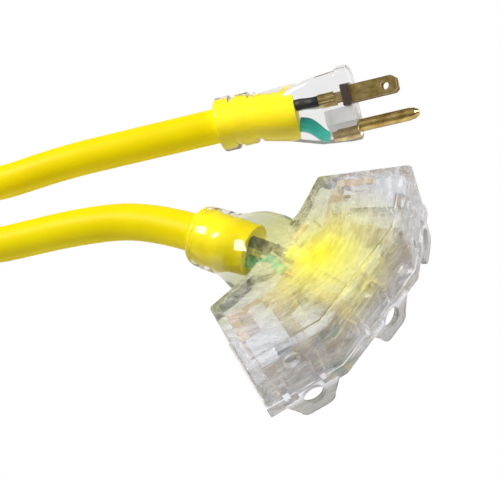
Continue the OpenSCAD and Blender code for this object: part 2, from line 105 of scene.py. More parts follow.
def relax(p, times, keep=2):
    p = [Vector(q) for q in p]
    for _ in range(times):
        q = list(p)
        for i in range(keep, len(p) - keep):
            q[i] = p[i - 1] * 0.25 + p[i] * 0.5 + p[i + 1] * 0.25
        p = q
    return p


def new_object(name, mesh, mats=()):
    ob = bpy.data.objects.new(name, mesh)
    scene.collection.objects.link(ob)
    for mm in mats:
        mesh.materials.append(mm)
    return ob


def mesh_from(name, verts, faces, scale=0.001):
    me = bpy.data.meshes.new(name)
    me.from_pydata([tuple(c * scale for c in v) for v in verts], [], faces)
    me.validate()
    me.update()
    return me


def shade(me, angle=32):
    me.polygons.foreach_set("use_smooth", [True] * len(me.polygons))
    me.set_sharp_from_angle(angle=math.radians(angle))
    me.update()


def applied(ob, name=None):
    """The object's mesh with its modifiers applied, as a plain mesh on the same object."""
    dg = bpy.context.evaluated_depsgraph_get()
    me = bpy.data.meshes.new_from_object(ob.evaluated_get(dg))
    ob.modifiers.clear()
    old = ob.data
    ob.data = me
    if old.users == 0:
        bpy.data.meshes.remove(old)
    if name:
        me.name = name
    return me


def boolean(a, b, op):
    mod = a.modifiers.new("b", "BOOLEAN")
    mod.operation = op
    mod.solver = "EXACT"
    mod.object = b
    applied(a)
    me = b.data
    bpy.data.objects.remove(b)
    if me.users == 0:
        bpy.data.meshes.remove(me)


def lathe(name, profile, n, axis_from, axis_to):
    """Closed turned shape: profile is (along, radius) in mm, from axis_from toward axis_to."""
    a, d = Vector(axis_from), (Vector(axis_to) - Vector(axis_from)).normalized()
    x = d.orthogonal().normalized()
    y = d.cross(x)
    verts, faces = [], []
    for h, r in profile:
        for k in range(n):
            t = 2 * math.pi * k / n
            verts.append(a + d * h + (x * math.cos(t) + y * math.sin(t)) * r)
    m_ = len(profile)
    for i in range(m_ - 1):
        for k in range(n):
            faces.append((i * n + k, i * n + (k + 1) % n, (i + 1) * n + (k + 1) % n, (i + 1) * n + k))
    faces.append(tuple(range(n - 1, -1, -1)))
    faces.append(tuple((m_ - 1) * n + k for k in range(n)))
    return mesh_from(name, verts, faces)


def fix_normals(me):
    bm = bmesh.new()
    bm.from_mesh(me)
    bmesh.ops.recalc_face_normals(bm, faces=bm.faces)
    bm.to_mesh(me)
    bm.free()
    me.update()


# ---------------------------------------------------------------- cord
CORD_D = 13.2
COIL_AT = (15.0, 309.0)
RI, RO, LAYERS, LAYER_H = 53.6, 80.2, 6, 13.3
COIL_Z = 1.6 + CORD_D / 2
COIL_TOP = COIL_Z + (LAYERS - 1) * LAYER_H


def tap_z(s):
    return 13.9 - 1.4 * smooth(s / 30) + (COIL_TOP - 12.5) * smooth((s - 12) / 134)


tap_run = spline([(-3.3, 34.5, 21.75), (-3.9, 40.4, 21.7), (-5.6, 51, 21.6), (-9.5, 65, 21.2), (-15.6, 77.3, 20.2), (-22.5, 89.7, 18.4), (-30, 102.3, 16), (-37.4, 114.2, 13.9)], 6)
for i in range(1, 13):
    a = math.radians(212 + (185.05 - 212) * i / 12)
    tap_run.append(Vector((47.4 + 100 * math.cos(a), 167.2 + 100 * math.sin(a), tap_z(i * 3.92))))
for i in range(1, 31):
    tap_run.append(Vector((-52.2 - 12.7 * i / 30, 158.4 + 143.5 * i / 30, tap_z(47 + i * 4.8))))


def plug_z(s):
    return 15.5 - 8.9 * smooth((s - 50) / 90) + (COIL_Z - 6.6) * smooth((s - 140) / 66)


plug_run = [Vector((43 - 6.36 * i / 2, 71 + 7.72 * i / 2, plug_z(5 * i))) for i in range(17)]
for i in range(1, 27):
    a = math.radians(219.5 + (99.6 - 219.5) * i / 26)
    plug_run.append(Vector((38.4 + 60 * math.cos(a), 170.9 + 60 * math.sin(a), plug_z(80 + 125.6 * i / 26))))

TURNS = 17.7373


def coil_point(tau):
    j = min(LAYERS - 1, int(tau // 3))
    ff = tau - 3 * j
    b = min(2, int(ff))
    mv = smooth((ff - b - 0.5) / 0.5)
    last = b == 2
    t = b + (0.0 if last else mv)
    r = RO - (RO - RI) / 2 * t if j % 2 == 0 else RI + (RO - RI) / 2 * t
    z = COIL_Z + LAYER_H * (j + (mv if last and j < LAYERS - 1 else 0.0))
    a = math.radians(-80.38 + 360 * tau)
    return Vector((COIL_AT[0] + r * math.cos(a), COIL_AT[1] + r * math.sin(a), z))


coil = [coil_point(TURNS * i / 640) for i in range(641)]
line = tap_run[:-1] + list(reversed(coil)) + list(reversed(plug_run))[1:]
line = resample(line, 4.0)
line = relax(line, 2, 3)
cord_len = sum((b - a).length for a, b in zip(line, line[1:])) / 1000
print("cord line", round(cord_len, 3), "m")


def tube(name, pts, radius, sides):
    pts = [Vector(p) for p in pts]
    n = len(pts)
    tang = [(pts[min(n - 1, i + 1)] - pts[max(0, i - 1)]).normalized() for i in range(n)]
    x = Vector((0, 0, 1)).cross(tang[0])
    if x.length < 0.1:
        x = Vector((1, 0, 0))
    verts, faces = [], []
    for i in range(n):
        x = (x - tang[i] * x.dot(tang[i])).normalized()
        y = tang[i].cross(x)
        for k in range(sides):
            t = 2 * math.pi * k / sides
            verts.append(pts[i] + radius * (math.cos(t) * x + math.sin(t) * y))
    for i in range(n - 1):
        for k in range(sides):
            faces.append((i * sides + k, i * sides + (k + 1) % sides, (i + 1) * sides + (k + 1) % sides, (i + 1) * sides + k))
    faces.append(tuple(range(sides - 1, -1, -1)))
    faces.append(tuple((n - 1) * sides + k for k in range(sides)))
    me = mesh_from(name, verts, faces)
    shade(me, 40)
    return me


# ---------------------------------------------------------------- materials
def mat(name, color, rough=0.4, metal=0.0, **sock):
    mm = bpy.data.materials.new(name)
    mm.use_nodes = True
    b = mm.node_tree.nodes["Principled BSDF"]
    b.inputs["Base Color"].default_value = (*color, 1.0)
    b.inputs["Roughness"].default_value = rough
    b.inputs["Metallic"].default_value = metal
    for k, v in sock.items():
        b.inputs[k.replace("_", " ")].default_value = v
    return mm, mm.node_tree, b


def noise(nt, scale, detail=2.0, rough=0.5, coord="Object"):
    tc = nt.nodes.new("ShaderNodeTexCoord")
    nz = nt.nodes.new("ShaderNodeTexNoise")
    nz.inputs["Scale"].default_value = scale
    nz.inputs["Detail"].default_value = detail
    nz.inputs["Roughness"].default_value = rough
    nt.links.new(tc.outputs[coord], nz.inputs["Vector"])
    return nz


def ramp(nt, src, stops):
    r = nt.nodes.new("ShaderNodeValToRGB")
    while len(r.color_ramp.elements) < len(stops):
        r.color_ramp.elements.new(0.5)
    for e_, (pos, glow_yellow) in zip(r.color_ramp.elements, stops):
        e_.position = pos
        e_.color = (*glow_yellow, 1.0)
    nt.links.new(src, r.inputs["Fac"])
    return r


def bump(nt, b, height, strength, distance=0.001):
    bp = nt.nodes.new("ShaderNodeBump")
    bp.inputs["Strength"].default_value = strength
    bp.inputs["Distance"].default_value = distance
    nt.links.new(height, bp.inputs["Height"])
    nt.links.new(bp.outputs["Normal"], b.inputs["Normal"])


def mottled(name, c1, c2, scale, rough, metal=0.0, bump_s=0.0, bump_scale=None, **sock):
    mm, nt, b = mat(name, c1, rough, metal, **sock)
    nz = noise(nt, scale, 3.0, 0.55)
    r = ramp(nt, nz.outputs["Fac"], [(0.3, c1), (0.7, c2)])
    nt.links.new(r.outputs["Color"], b.inputs["Base Color"])
    if bump_s:
        nb = noise(nt, bump_scale or scale * 3, 2.0, 0.5)
        bump(nt, b, nb.outputs["Fac"], bump_s, 0.0005)
    return mm


jacket = mottled("jacket", (0.91, 0.725, 0.001), (0.96, 0.785, 0.002), 60, 0.4, bump_s=0.1, bump_scale=500, Specular_IOR_Level=0.08)
brass = mottled("brass", (0.82, 0.64, 0.38), (0.9, 0.76, 0.5), 220, 0.32, 0.9, bump_s=0.08, bump_scale=900)
# plug blades and pin: dark, strongly blotched brass, partly the metal's own uneven tone and partly painted dark
# reflection
plug_brass = mottled("plug_brass", (0.46, 0.3, 0.07), (0.86, 0.66, 0.27), 330, 0.2, 1.0, bump_s=0.3, bump_scale=420)
nickel = mottled("nickel", (0.78, 0.8, 0.84), (0.92, 0.93, 0.95), 260, 0.3, 0.75, bump_s=0.08, bump_scale=900)
copper = mottled("copper", (0.75, 0.36, 0.2), (0.88, 0.5, 0.3), 300, 0.3, 1.0)
black_wire = mottled("black_wire", (0.003, 0.003, 0.003), (0.008, 0.008, 0.009), 120, 0.35, bump_s=0.05, Specular_IOR_Level=0.2)
white_wire = mottled("white_wire", (0.78, 0.78, 0.76), (0.88, 0.88, 0.86), 120, 0.35, bump_s=0.05)
green_wire = mottled("green_wire", (0.0, 0.5, 0.42), (0.01, 0.68, 0.58), 120, 0.3, bump_s=0.05)
dark_insert = mottled("dark_insert", (0.035, 0.02, 0.012), (0.06, 0.035, 0.02), 160, 0.4, bump_s=0.05)
resistor = mottled("resistor", (0.7, 0.52, 0.3), (0.78, 0.62, 0.4), 200, 0.4)
tie_cloth, nt, b = mat("tie_cloth", (0.02, 0.02, 0.022), 0.85)
wv = nt.nodes.new("ShaderNodeTexWave")
wv.inputs["Scale"].default_value = 400
tc = nt.nodes.new("ShaderNodeTexCoord")
nt.links.new(tc.outputs["Object"], wv.inputs["Vector"])
bump(nt, b, wv.outputs["Fac"], 0.4, 0.0004)
r_ = ramp(nt, noise(nt, 300).outputs["Fac"], [(0.3, (0.012, 0.012, 0.014)), (0.7, (0.03, 0.03, 0.034))])
nt.links.new(r_.outputs["Color"], b.inputs["Base Color"])

LAMP = Vector((0.5, -18.6, 32.5)) / 1000


def math_node(nt, op, a, b_=0.0, clamp=False):
    n_ = nt.nodes.new("ShaderNodeMath")
    n_.operation = op
    n_.use_clamp = clamp
    for i_, v_ in enumerate((a, b_)):
        if isinstance(v_, (int, float)):
            n_.inputs[i_].default_value = v_
        else:
            nt.links.new(v_, n_.inputs[i_])
    return n_.outputs["Value"]


def remap(nt, value, a0, a1, b0=0.0, b1=1.0):
    mr = nt.nodes.new("ShaderNodeMapRange")
    for key, v_ in (("From Min", a0), ("From Max", a1), ("To Min", b0), ("To Max", b1)):
        mr.inputs[key].default_value = v_
    nt.links.new(value, mr.inputs["Value"])
    return mr.outputs["Result"]


def blend(nt, factor, a, b_):
    mx = nt.nodes.new("ShaderNodeMix")
    mx.data_type = "RGBA"
    nt.links.new(factor, mx.inputs["Factor"])
    for key, v_ in (("A", a), ("B", b_)):
        if isinstance(v_, tuple):
            mx.inputs[key].default_value = (*v_, 1.0)
        else:
            nt.links.new(v_, mx.inputs[key])
    return mx.outputs["Result"]


def axes(nt, origin=(0.0, 0.0, 0.0)):
    """The object's own coordinates, from an origin in metres."""
    tc_ = nt.nodes.new("ShaderNodeTexCoord")
    sub = nt.nodes.new("ShaderNodeVectorMath")
    sub.operation = "SUBTRACT"
    sub.inputs[1].default_value = origin
    nt.links.new(tc_.outputs["Object"], sub.inputs[0])
    sp = nt.nodes.new("ShaderNodeSeparateXYZ")
    nt.links.new(sub.outputs["Vector"], sp.inputs[0])
    return sp.outputs["X"], sp.outputs["Y"], sp.outputs["Z"]


def painted_glow_mask(nt, radius, power=1.6):
    """Mask of the painted lamp glow: 1 at the lamp, falling to 0 at radius metres, and sooner below it."""
    x, y, z = axes(nt, tuple(LAMP))
    z = math_node(nt, "MULTIPLY", z, 1.7)
    d2 = math_node(nt, "ADD", math_node(nt, "ADD", math_node(nt, "MULTIPLY", x, x), math_node(nt, "MULTIPLY", y, y)), math_node(nt, "MULTIPLY", z, z))
    g = remap(nt, math_node(nt, "SQRT", d2), 0.003, radius, 1.0, 0.0)
    return math_node(nt, "POWER", g, power)


def paint_lamp_glow(nt, b, color_socket, glow):
    """Paints the lamp's glow on the plastic: a painted yellow tint and painted light (emission) near the lamp."""
    radius, power, strength, glow_yellow, lit = glow
    nt.links.new(blend(nt, painted_glow_mask(nt, radius, power), color_socket, glow_yellow), b.inputs["Base Color"])
    b.inputs["Emission Color"].default_value = (*lit, 1.0)
    nt.links.new(math_node(nt, "MULTIPLY", painted_glow_mask(nt, radius * 0.8, power * 1.3), strength), b.inputs["Emission Strength"])


def let_lamps_through(nt, b, tint):
    """Lamps reach what is behind the plastic."""
    out = nt.nodes["Material Output"]
    mx = nt.nodes.new("ShaderNodeMixShader")
    lp = nt.nodes.new("ShaderNodeLightPath")
    tr = nt.nodes.new("ShaderNodeBsdfTransparent")
    tr.inputs["Color"].default_value = (*tint, 1.0)
    nt.links.new(lp.outputs["Is Shadow Ray"], mx.inputs[0])
    nt.links.new(b.outputs["BSDF"], mx.inputs[1])
    nt.links.new(tr.outputs["BSDF"], mx.inputs[2])
    nt.links.new(mx.outputs["Shader"], out.inputs["Surface"])


def arc_streaks(nt, scale, along, detail=4.0):
    """Noise drawn out along arcs round the middle of the fan."""
    x, y, z = axes(nt, (0.0, 0.012, 0.0))
    rr = math_node(nt, "SQRT", math_node(nt, "ADD", math_node(nt, "MULTIPLY", x, x), math_node(nt, "MULTIPLY", y, y)))
    cb = nt.nodes.new("ShaderNodeCombineXYZ")
    nt.links.new(rr, cb.inputs[0])
    nt.links.new(math_node(nt, "MULTIPLY", math_node(nt, "ARCTAN2", x, y), along), cb.inputs[1])
    nt.links.new(math_node(nt, "MULTIPLY", z, 1.3), cb.inputs[2])
    nz = nt.nodes.new("ShaderNodeTexNoise")
    nz.inputs["Scale"].default_value = scale
    nz.inputs["Detail"].default_value = detail
    nz.inputs["Roughness"].default_value = 0.62
    nt.links.new(cb.outputs["Vector"], nz.inputs["Vector"])
    return nz.outputs["Fac"]


def clear_plastic(name, color, rough, ior, clear, density, absorb, bump_s=0.03, bump_scale=70.0, through=(0.9, 0.9, 0.9)):
    mm, nt, b = mat(name, color, rough, 0.0, Transmission_Weight=clear, IOR=ior)
    r = ramp(nt, noise(nt, 45, 3.0).outputs["Fac"], [(0.3, tuple(c * 0.97 for c in color)), (0.7, color)])
    nt.links.new(r.outputs["Color"], b.inputs["Base Color"])
    bump(nt, b, noise(nt, bump_scale, 2.0).outputs["Fac"], bump_s, 0.0015)
    absorbing(nt, density, absorb)
    let_lamps_through(nt, b, through)
    return mm


def absorbing(nt, density, absorb):
    va = nt.nodes.new("ShaderNodeVolumeAbsorption")
    va.inputs["Color"].default_value = (*absorb, 1.0)
    va.inputs["Density"].default_value = density
    nt.links.new(va.outputs["Volume"], nt.nodes["Material Output"].inputs["Volume"])


def tap_plastic():
    """Cloudy in the body with flow lines round the fan, clear in the neck, greyer in the ears, with painted yellow
    across the neck's waist and a painted lamp glow round the lamp.
    """
    color = (0.93, 0.93, 0.95)
    mm, nt, b = mat("tap_pvc", color, TP["rough"], 0.0, IOR=1.34)
    x, y, z = axes(nt)
    neck = remap(nt, y, 0.002, 0.010)
    ear = remap(nt, z, 0.0085, 0.0075)
    line_a = arc_streaks(nt, TP["scale"], TP["along"])
    cloud = math_node(nt, "MULTIPLY", remap(nt, line_a, 0.4, 0.68, 0.0, TP["cloud"]), math_node(nt, "SUBTRACT", 1.0, neck))
    clear = remap(nt, neck, 0.0, 1.0, TP["clear"], TP["neck_clear"])
    clear = math_node(nt, "SUBTRACT", clear, cloud)
    clear = math_node(nt, "SUBTRACT", clear, math_node(nt, "MULTIPLY", ear, TP["ear_haze"]), True)
    # painted glow: the plastic is made less clear round the lamp, so the painted yellow and painted light there show
    clear = math_node(nt, "SUBTRACT", clear, math_node(nt, "MULTIPLY", painted_glow_mask(nt, TP["glow_haze"][0], 1.2), TP["glow_haze"][1]), True)
    nt.links.new(clear, b.inputs["Transmission Weight"])
    r = ramp(nt, line_a, [(0.35, tuple(c * 0.93 for c in color)), (0.6, color)])
    # painted yellow across the neck's waist, standing in for the yellow jacket seen through the clear plastic
    painted_band_mask = math_node(nt, "MULTIPLY", remap(nt, y, -0.003, 0.004), remap(nt, y, 0.021, 0.014))
    c1 = blend(nt, neck, r.outputs["Color"], (0.97, 0.97, 0.95))
    c1 = blend(nt, painted_band_mask, c1, TP["band_painted_yellow"])
    c1 = blend(nt, ear, c1, TP["ear_tint"])
    # painted lamp light: yellow tint and emission on the plastic round the lamp
    paint_lamp_glow(nt, b, c1, TP["glow"])
    bp = nt.nodes.new("ShaderNodeBump")
    bp.inputs["Distance"].default_value = 0.0015
    nt.links.new(remap(nt, neck, 0.0, 1.0, TP["bump"], TP["neck_bump"]), bp.inputs["Strength"])
    wide = noise(nt, 70, 2.0).outputs["Fac"]
    nt.links.new(math_node(nt, "ADD", math_node(nt, "MULTIPLY", math_node(nt, "MULTIPLY", line_a, 0.35), math_node(nt, "SUBTRACT", 1.0, neck)), wide), bp.inputs["Height"])
    nt.links.new(bp.outputs["Normal"], b.inputs["Normal"])
    absorbing(nt, TP["density"], (0.75, 0.75, 0.76))
    let_lamps_through(nt, b, (0.9, 0.9, 0.9))
    return mm


# the glow entry is painted lamp light (tint and emission); the haze round the lamp and the yellow for the neck's waist
# carry painted light too
TP = dict(glow_haze=(0.024, 0.62), rough=0.05, scale=480.0, along=0.012, cloud=0.34, clear=0.9, neck_clear=0.99, ear_haze=0.12, band_painted_yellow=(0.72, 0.74, 0.4), ear_tint=(0.6, 0.585, 0.555),
          glow=(0.031, 1.0, 0.15, (0.9, 0.84, 0.012), (0.95, 0.85, 0.0)), bump=0.13, neck_bump=0.04, density=44.0)
tap_pvc = tap_plastic()
plug_pvc = clear_plastic("plug_pvc", (0.93, 0.93, 0.935), 0.05, 1.43, 0.985, 9.0, (0.78, 0.76, 0.74), 0.1, through=(0.97, 0.97, 0.97))


def milky(name, color, alpha, rough, glow=None):
    """Cloudy clear plastic inside the moulding; when glow is given, it also takes a painted lamp glow (yellow tint and
    emission).
    """
    mm, nt, b = mat(name, color, rough, 0.0, Alpha=alpha)
    r = ramp(nt, noise(nt, 90, 2.0).outputs["Fac"], [(0.3, tuple(c * 0.93 for c in color)), (0.7, color)])
    nt.links.new(r.outputs["Color"], b.inputs["Base Color"])
    bump(nt, b, noise(nt, 260, 2.0).outputs["Fac"], 0.1, 0.0006)
    if glow:
        paint_lamp_glow(nt, b, r.outputs["Color"], glow)
    return mm


# the outlet cores carry painted lamp light: a yellow tint and a strong painted glow (emission) near the lamp
core_mat = milky("outlet_core", (0.9, 0.89, 0.94), 0.17, 0.25, glow=(0.026, 1.0, 0.9, (1.0, 0.92, 0.03), (0.95, 0.85, 0.0)))
insert_mat = milky("plug_insert", (0.7, 0.69, 0.69), 0.55, 0.3)
lamp_mat, nt, b = mat("lamp", (0.95, 0.9, 0.02), 0.2)
b.inputs["Emission Color"].default_value = (0.98, 0.93, 0.01, 1)
b.inputs["Emission Strength"].default_value = 0.4
b.inputs["Alpha"].default_value = 0.45
r_ = ramp(nt, noise(nt, 400).outputs["Fac"], [(0.3, (0.95, 0.85, 0.02)), (0.7, (1.0, 0.95, 0.05))])
nt.links.new(r_.outputs["Color"], b.inputs["Base Color"])

# ---------------------------------------------------------------- CAD pieces keep their shape and take these finishes
FINISH = {
    "jacket": jacket, "brass": brass, "nickel": nickel, "copper": copper, "black_wire": black_wire,
    "white_wire": white_wire, "green_wire": green_wire, "dark_insert": dark_insert, "resistor": resistor,
    "tie": tie_cloth, "clear_pvc": tap_pvc, "insert_plastic": core_mat, "lamp_glass": lamp_mat,
}
slots = {s["node"]: s["material_slot"] for s in frame["record"]["subparts"]}
for name, slot in slots.items():
    ob = bpy.data.objects[name]
    ob.data.materials.clear()
    ob.data.materials.append({"plug_insert": insert_mat, "line_blade": plug_brass, "neutral_blade": plug_brass, "ground_pin": plug_brass}.get(name, FINISH[slot]))

# ---------------------------------------------------------------- the visual cord
NECK_DIR = Vector((-math.sin(math.radians(6)), math.cos(math.radians(6)), 0.0))
plug_rot = Matrix.Rotation(math.radians(-50.5), 3, "Z") @ Matrix.Rotation(math.radians(-45), 3, "X")
PLUG_AT = Vector((43.0, 71.0, 15.5))


def plug_pt(x, y, z):
    return PLUG_AT + plug_rot @ Vector((x, y, z))


head = [Vector((-3.3, 34.4, 21.75)) - NECK_DIR * d for d in (22.6, 18, 14, 10, 6, 2.5)]
tail = [plug_pt(d, 0, -2.4 * smooth((d - 8) / 20)) for d in (3, 7, 11, 15, 19, 23, 27, 32.6)]
full_line = resample(head + line[:1] + line[1:] + tail, 4.0)
cord = new_object("cord", tube("cord", full_line, CORD_D / 2, 24), [jacket])
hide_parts("cord_from_tap", "cord_coil", "cord_to_plug", "tap_jacket_end", "plug_jacket_end")
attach(cord, "cord_set")

# ---------------------------------------------------------------- plug moulding
N_AROUND = 128


def dense_shape(w, top, low):
    r = w / 2
    pts = [((r - 1) * math.cos(a), low + r - 1 + (r - 1) * math.sin(a)) for a in [math.radians(180 + 4 * i) for i in range(46)]]
    pts += [(r - 3 + 3 * math.cos(a), top - 3 + 3 * math.sin(a)) for a in [math.radians(10 * i) for i in range(10)]]
    pts += [(-r + 3 + 3 * math.cos(a), top - 3 + 3 * math.sin(a)) for a in [math.radians(90 + 10 * i) for i in range(10)]]
    return pts


def cast(pts, cz, n):
    """Points of a closed outline at n even angles round (0, cz)."""
    out = []
    m_ = len(pts)
    for k in range(n):
        a = 2 * math.pi * k / n
        d = (math.cos(a), math.sin(a))
        best = 0.0
        for i in range(m_):
            x1, y1 = pts[i][0], pts[i][1] - cz
            x2, y2 = pts[(i + 1) % m_][0], pts[(i + 1) % m_][1] - cz
            ex, ey = x2 - x1, y2 - y1
            den = d[0] * ey - d[1] * ex
            if abs(den) < 1e-12:
                continue
            t = (x1 * ey - y1 * ex) / den
            s = (x1 * d[1] - y1 * d[0]) / den
            if t > 0 and -1e-6 <= s <= 1 + 1e-6:
                best = max(best, t)
        out.append(best)
    return out


def ring(x, cz, radii, verts):
    n = len(radii)
    for k in range(n):
        a = 2 * math.pi * k / n
        verts.append(plug_pt(x, radii[k] * math.cos(a), cz + radii[k] * math.sin(a)))


pv = []
circ = lambda r: [r] * N_AROUND
for x, r in [(2.8, 8.4), (2.8, 9.6), (3.1, 10.0), (3.7, 10.2), (8.0, 10.2), (8.4, 10.05), (8.65, 9.6), (8.8, 8.9), (9.1, 8.65), (9.9, 8.65), (10.2, 8.9), (10.4, 9.3),
             (10.8, 9.7), (15.4, 9.7), (15.8, 9.5), (16.0, 8.9), (16.3, 8.5), (17.4, 8.5), (17.7, 8.8), (17.95, 9.0)]:
    ring(x, 0, circ(r), pv)
s39 = dense_shape(22.6, 8.5, -15.6)
s50 = dense_shape(25, 9.2, -17)
s54 = dense_shape(25, 9.6, -17)
CZ28, CZ39, CZ54 = -1.6, -3.6, -3.9
r39, r50, r54 = cast(s39, CZ39, N_AROUND), cast(s50, CZ54, N_AROUND), cast(s54, CZ54, N_AROUND)
lip = cast([(-7, 0), (7, 0), (7, 9.0), (6.4, 10.4), (5.2, 10.8), (-5.2, 10.8), (-6.4, 10.4), (-7, 9.0)], CZ54, N_AROUND)
rl = [max(a, b_) for a, b_ in zip(r54, lip)]
for x in (18.2, 20, 22.5, 25, 28):
    t = (x - 18) / 10
    ring(x, -0.6 * (1 - t) + CZ28 * t, circ(9.0 + 1.4 * t), pv)
for x in (30, 32, 34, 36, 37.5, 39):
    t = (x - 28) / 11
    ring(x, CZ28 * (1 - t) + CZ39 * t, [10.4 * (1 - t) + b_ * t for b_ in r39], pv)
for x in (42, 45, 48, 49.6):
    t = (x - 39) / 11
    ring(x, CZ39 * (1 - t) + CZ54 * t, [a * (1 - t) + b_ * t for a, b_ in zip(r39, r50)], pv)
for x, rr, k in ((49.9, r54, 1.0), (50.2, rl, 1.0), (53.2, rl, 1.0), (53.75, rl, 0.985), (54, rl, 0.95)):
    ring(x, CZ54, [a * k for a in rr], pv)
n_r = len(pv) // N_AROUND
pf = [(i * N_AROUND + k, i * N_AROUND + (k + 1) % N_AROUND, (i + 1) * N_AROUND + (k + 1) % N_AROUND, (i + 1) * N_AROUND + k) for i in range(n_r - 1) for k in range(N_AROUND)]
pf.append(tuple(range(N_AROUND - 1, -1, -1)))
pf.append(tuple((n_r - 1) * N_AROUND + k for k in range(N_AROUND)))
pm = mesh_from("plug_moulding", pv, pf)
fix_normals(pm)
shade(pm, 35)
plug_shell = new_object("plug_moulding", pm, [plug_pvc])
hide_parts("plug_body")
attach(plug_shell, "cord_set")

# ---------------------------------------------------------------- tap moulding
Y0, ZB, ZT = 32.09, 9.0, 34.5
ZM = (ZB + ZT) / 2
TH = math.radians(26.57)
UM, VM, FW = 67.6, 20.0, 27.06
UC, VC = UM - math.sin(TH) * FW / 2, VM + math.cos(TH) * FW / 2
UB, VB = UM - math.sin(TH) * FW, VM + math.cos(TH) * FW
OUTLINE = [(26, -29.6), (UB, -VB), (UM, -VM), (UM, VM), (UB, VB), (26, 29.6), (29.6, 14), (29.6, -14)]


def loc(u, v, z):
    return Vector((v, Y0 - u, z))


def inset(p, d):
    out = []
    n = len(p)
    for i in range(n):
        a, b_, c = Vector(p[i - 1]), Vector(p[i]), Vector(p[(i + 1) % n])
        e1, e2 = (b_ - a).normalized(), (c - b_).normalized()
        n1, n2 = Vector((-e1.y, e1.x)), Vector((-e2.y, e2.x))
        out.append(tuple(b_ + (n1 + n2) * d / (1 + n1.dot(n2))))
    return out


def prism(name, outline, z1, z2, cuts, bevel, segs):
    n = len(outline)
    verts = [loc(u, v, z1) for u, v in outline] + [loc(u, v, z2) for u, v in outline]
    faces = [tuple(range(n)), tuple(range(2 * n - 1, n - 1, -1))] + [(i, i + n, (i + 1) % n + n, (i + 1) % n) for i in range(n)]
    me = mesh_from(name, verts, faces)
    bm = bmesh.new()
    bm.from_mesh(me)
    for co, no in cuts:
        g = bmesh.ops.bisect_plane(bm, geom=bm.verts[:] + bm.edges[:] + bm.faces[:], plane_co=co / 1000, plane_no=no, clear_outer=True, dist=1e-7)
        edges = [x for x in g["geom_cut"] if isinstance(x, bmesh.types.BMEdge)]
        if edges:
            bmesh.ops.contextual_create(bm, geom=edges)
    bmesh.ops.recalc_face_normals(bm, faces=bm.faces)
    bm.to_mesh(me)
    bm.free()
    ob = new_object(name, me)
    if bevel:
        mod = ob.modifiers.new("bevel", "BEVEL")
        mod.width = bevel / 1000
        mod.segments = segs
        mod.limit_method = "ANGLE"
        mod.angle_limit = math.radians(12)
        applied(ob)
    return ob


# the back of the body slopes to a thin edge, above and below
ang_t = math.atan(0.125)
ang_b = math.atan2(7.0, 10)
cut_top = (loc(54, 0, ZT), Vector((0, math.sin(ang_t), math.cos(ang_t))))
cut_low = (loc(36, 0, ZB), Vector((0, math.sin(ang_b), -math.cos(ang_b))))
SEG = 5
body = prism("tap_moulding", inset(OUTLINE, 0.35), ZB + 0.4, ZT, [cut_top, cut_low], 1.0, SEG)
flange = prism("flange", OUTLINE, ZB, ZB + 5, [cut_low], 0.9, 3)
boolean(body, flange, "UNION")
# a shallow raised panel on top leaves a rim round the edge
panel = prism("panel", inset(OUTLINE, 3.2), ZB + 12, ZT + 0.9, [(loc(54, 0, ZT + 0.9), cut_top[1])], 0.35, 2)
boolean(body, panel, "UNION")

# along the neck, half height, half width: it flares sideways into the body
prof = [(-6, 9.8, 11.1), (-3, 11.2, 13.2), (0, 12.1, 14.3), (3, 12.6, 15), (6, 12.7, 15.05), (9.5, 12.6, 14.75), (12, 12.2, 14.1), (14.2, 11.6, 13.1),
        (16.4, 10.9, 12.15), (18, 10.6, 11.55), (19.4, 10.5, 11.05), (20.6, 10.5, 10.75), (21.8, 10.7, 10.8), (23.5, 10.9, 10.9), (26, 10.8, 10.8), (28.0, 10.7, 10.7),
        (28.35, 9.9, 9.9), (29.25, 9.85, 9.85), (29.6, 10.5, 10.5), (30.6, 10.45, 10.45), (31.2, 10.2, 10.2), (31.5, 9.6, 9.6)]
sp_ = spline(prof, 4)
pivot = loc(29, 0, ZM)
neck = new_object("neck", lathe("neck", [(p.x, p.y) for p in sp_], 96, pivot, pivot + NECK_DIR))
side = NECK_DIR.cross(Vector((0, 0, 1)))
n_ring = len(neck.data.vertices) // len(sp_)
for i_, v_ in enumerate(neck.data.vertices):
    q_ = sp_[i_ // n_ring]
    v_.co += side * (v_.co - pivot / 1000).dot(side) * (q_.z / q_.y - 1)
fix_normals(neck.data)
boolean(body, neck, "UNION")


def facet(k):
    """Matrix of an outlet face's frame, in mm: x outward, y along the face, z up, from the middle of the body."""
    a = k * TH
    c, s = math.cos(a), math.sin(a)
    u0, v0 = (UM, 0.0) if k == 0 else (UC, k * VC)

    def at(x, y, z):
        return loc(u0 + c * x - s * y, v0 + s * x + c * y, ZM + z)

    return at


def block(name, at, lo, hi, bevel=0.0):
    verts = [at(x, y, z) for x in (lo[0], hi[0]) for y in (lo[1], hi[1]) for z in (lo[2], hi[2])]
    faces = [(0, 1, 3, 2), (4, 6, 7, 5), (0, 4, 5, 1), (2, 3, 7, 6), (0, 2, 6, 4), (1, 5, 7, 3)]
    me = mesh_from(name, verts, faces)
    fix_normals(me)
    ob = new_object(name, me)
    if bevel:
        mod = ob.modifiers.new("bevel", "BEVEL")
        mod.width = bevel / 1000
        mod.segments = 2
        applied(ob)
    return ob


